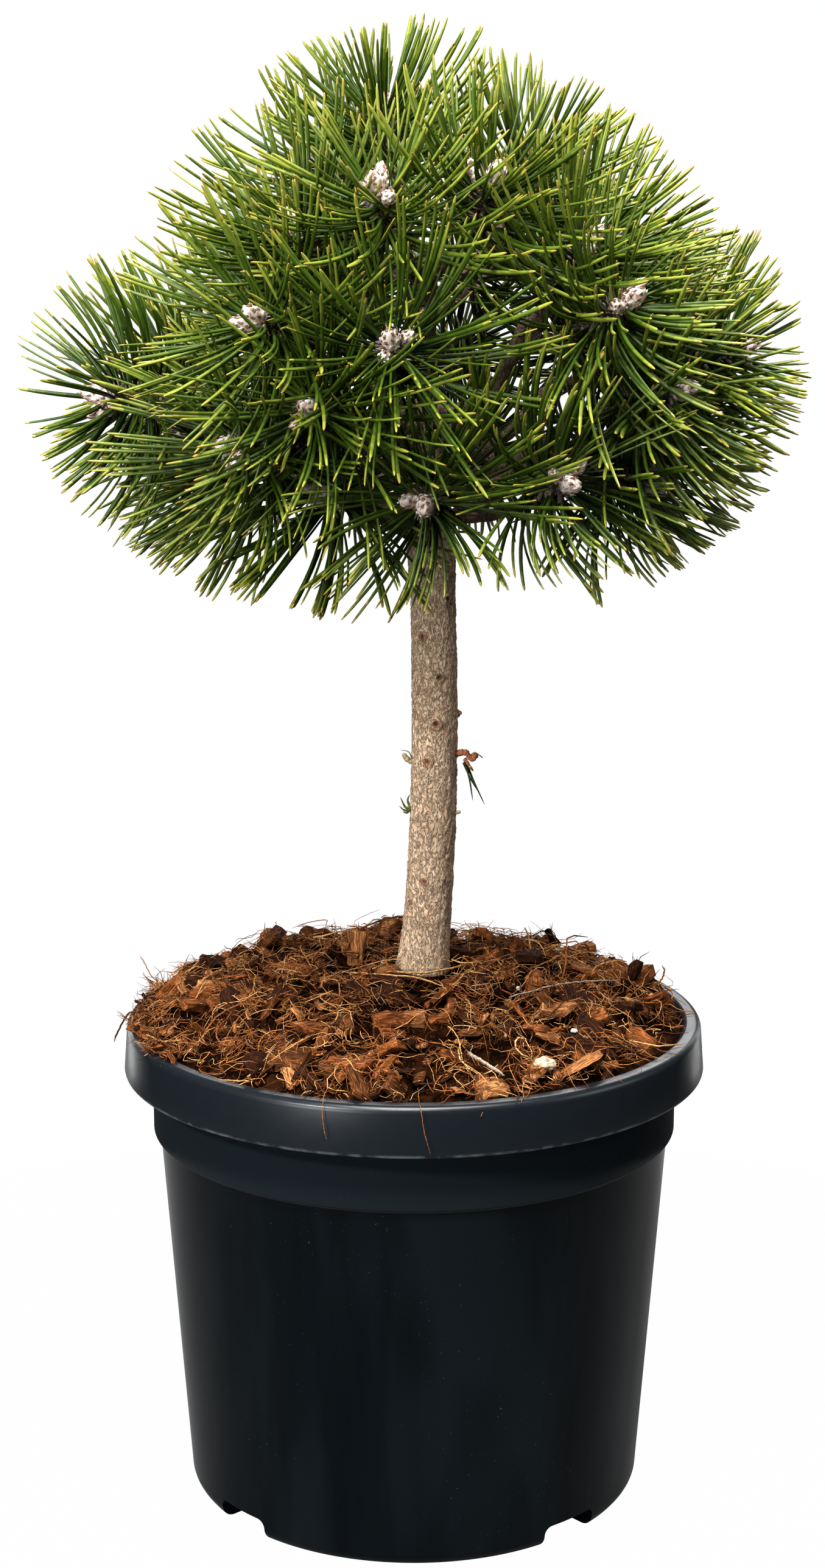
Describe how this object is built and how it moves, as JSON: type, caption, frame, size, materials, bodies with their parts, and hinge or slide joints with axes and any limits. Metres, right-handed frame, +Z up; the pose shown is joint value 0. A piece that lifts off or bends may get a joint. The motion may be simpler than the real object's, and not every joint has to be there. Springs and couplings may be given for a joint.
{
  "type": "potted austrian pine, a dwarf pine grafted on a short stem",
  "caption": "Dwarf Austrian pine with a round crown of long paired needles on a short clear stem, growing in a round black nursery pot topped with coir.",
  "frame": {"origin": "middle of the pot's flat underside, on the pot's axis", "axes": "+Z up along the pot's axis, front of the pot towards -Y, +X to the right as seen from the front"},
  "size_m": [0.3238, 0.2871, 0.6057],
  "materials": {
    "pot_plastic": "satin black plastic with faint vertical streaks and dust",
    "coir": "loose brown coir fibre and husk chips",
    "bark": "rough grey-brown flaking bark",
    "needles": "deep green needles with yellow tips, pale resinous buds"
  },
  "bodies": {
    "root": {"pot": "pot_plastic", "soil": "coir", "trunk": "bark", "foliage_top": "needles", "bough_front_high": "bark", "foliage_front_high": "needles", "bough_front_left_high": "bark", "foliage_front_left_high": "needles", "bough_front_right_high": "bark", "foliage_front_right_high": "needles", "bough_right_high": "bark", "foliage_right_high": "needles", "bough_left_high": "bark", "foliage_left_high": "needles", "bough_back_high": "bark", "foliage_back_high": "needles", "bough_front_middle": "bark", "foliage_front_middle": "needles", "bough_right": "bark", "foliage_right": "needles", "bough_back_right": "bark", "foliage_back_right": "needles", "bough_back": "bark", "foliage_back": "needles", "bough_left": "bark", "foliage_left": "needles", "bough_front_left_low": "bark", "foliage_front_left_low": "needles", "bough_front_low": "bark", "foliage_front_low": "needles", "bough_right_low": "bark", "foliage_right_low": "needles", "bough_back_right_low": "bark", "foliage_back_right_low": "needles", "bough_back_left_low": "bark", "foliage_back_left_low": "needles", "bough_left_low": "bark", "foliage_left_low": "needles"}
  },
  "joints": []
}
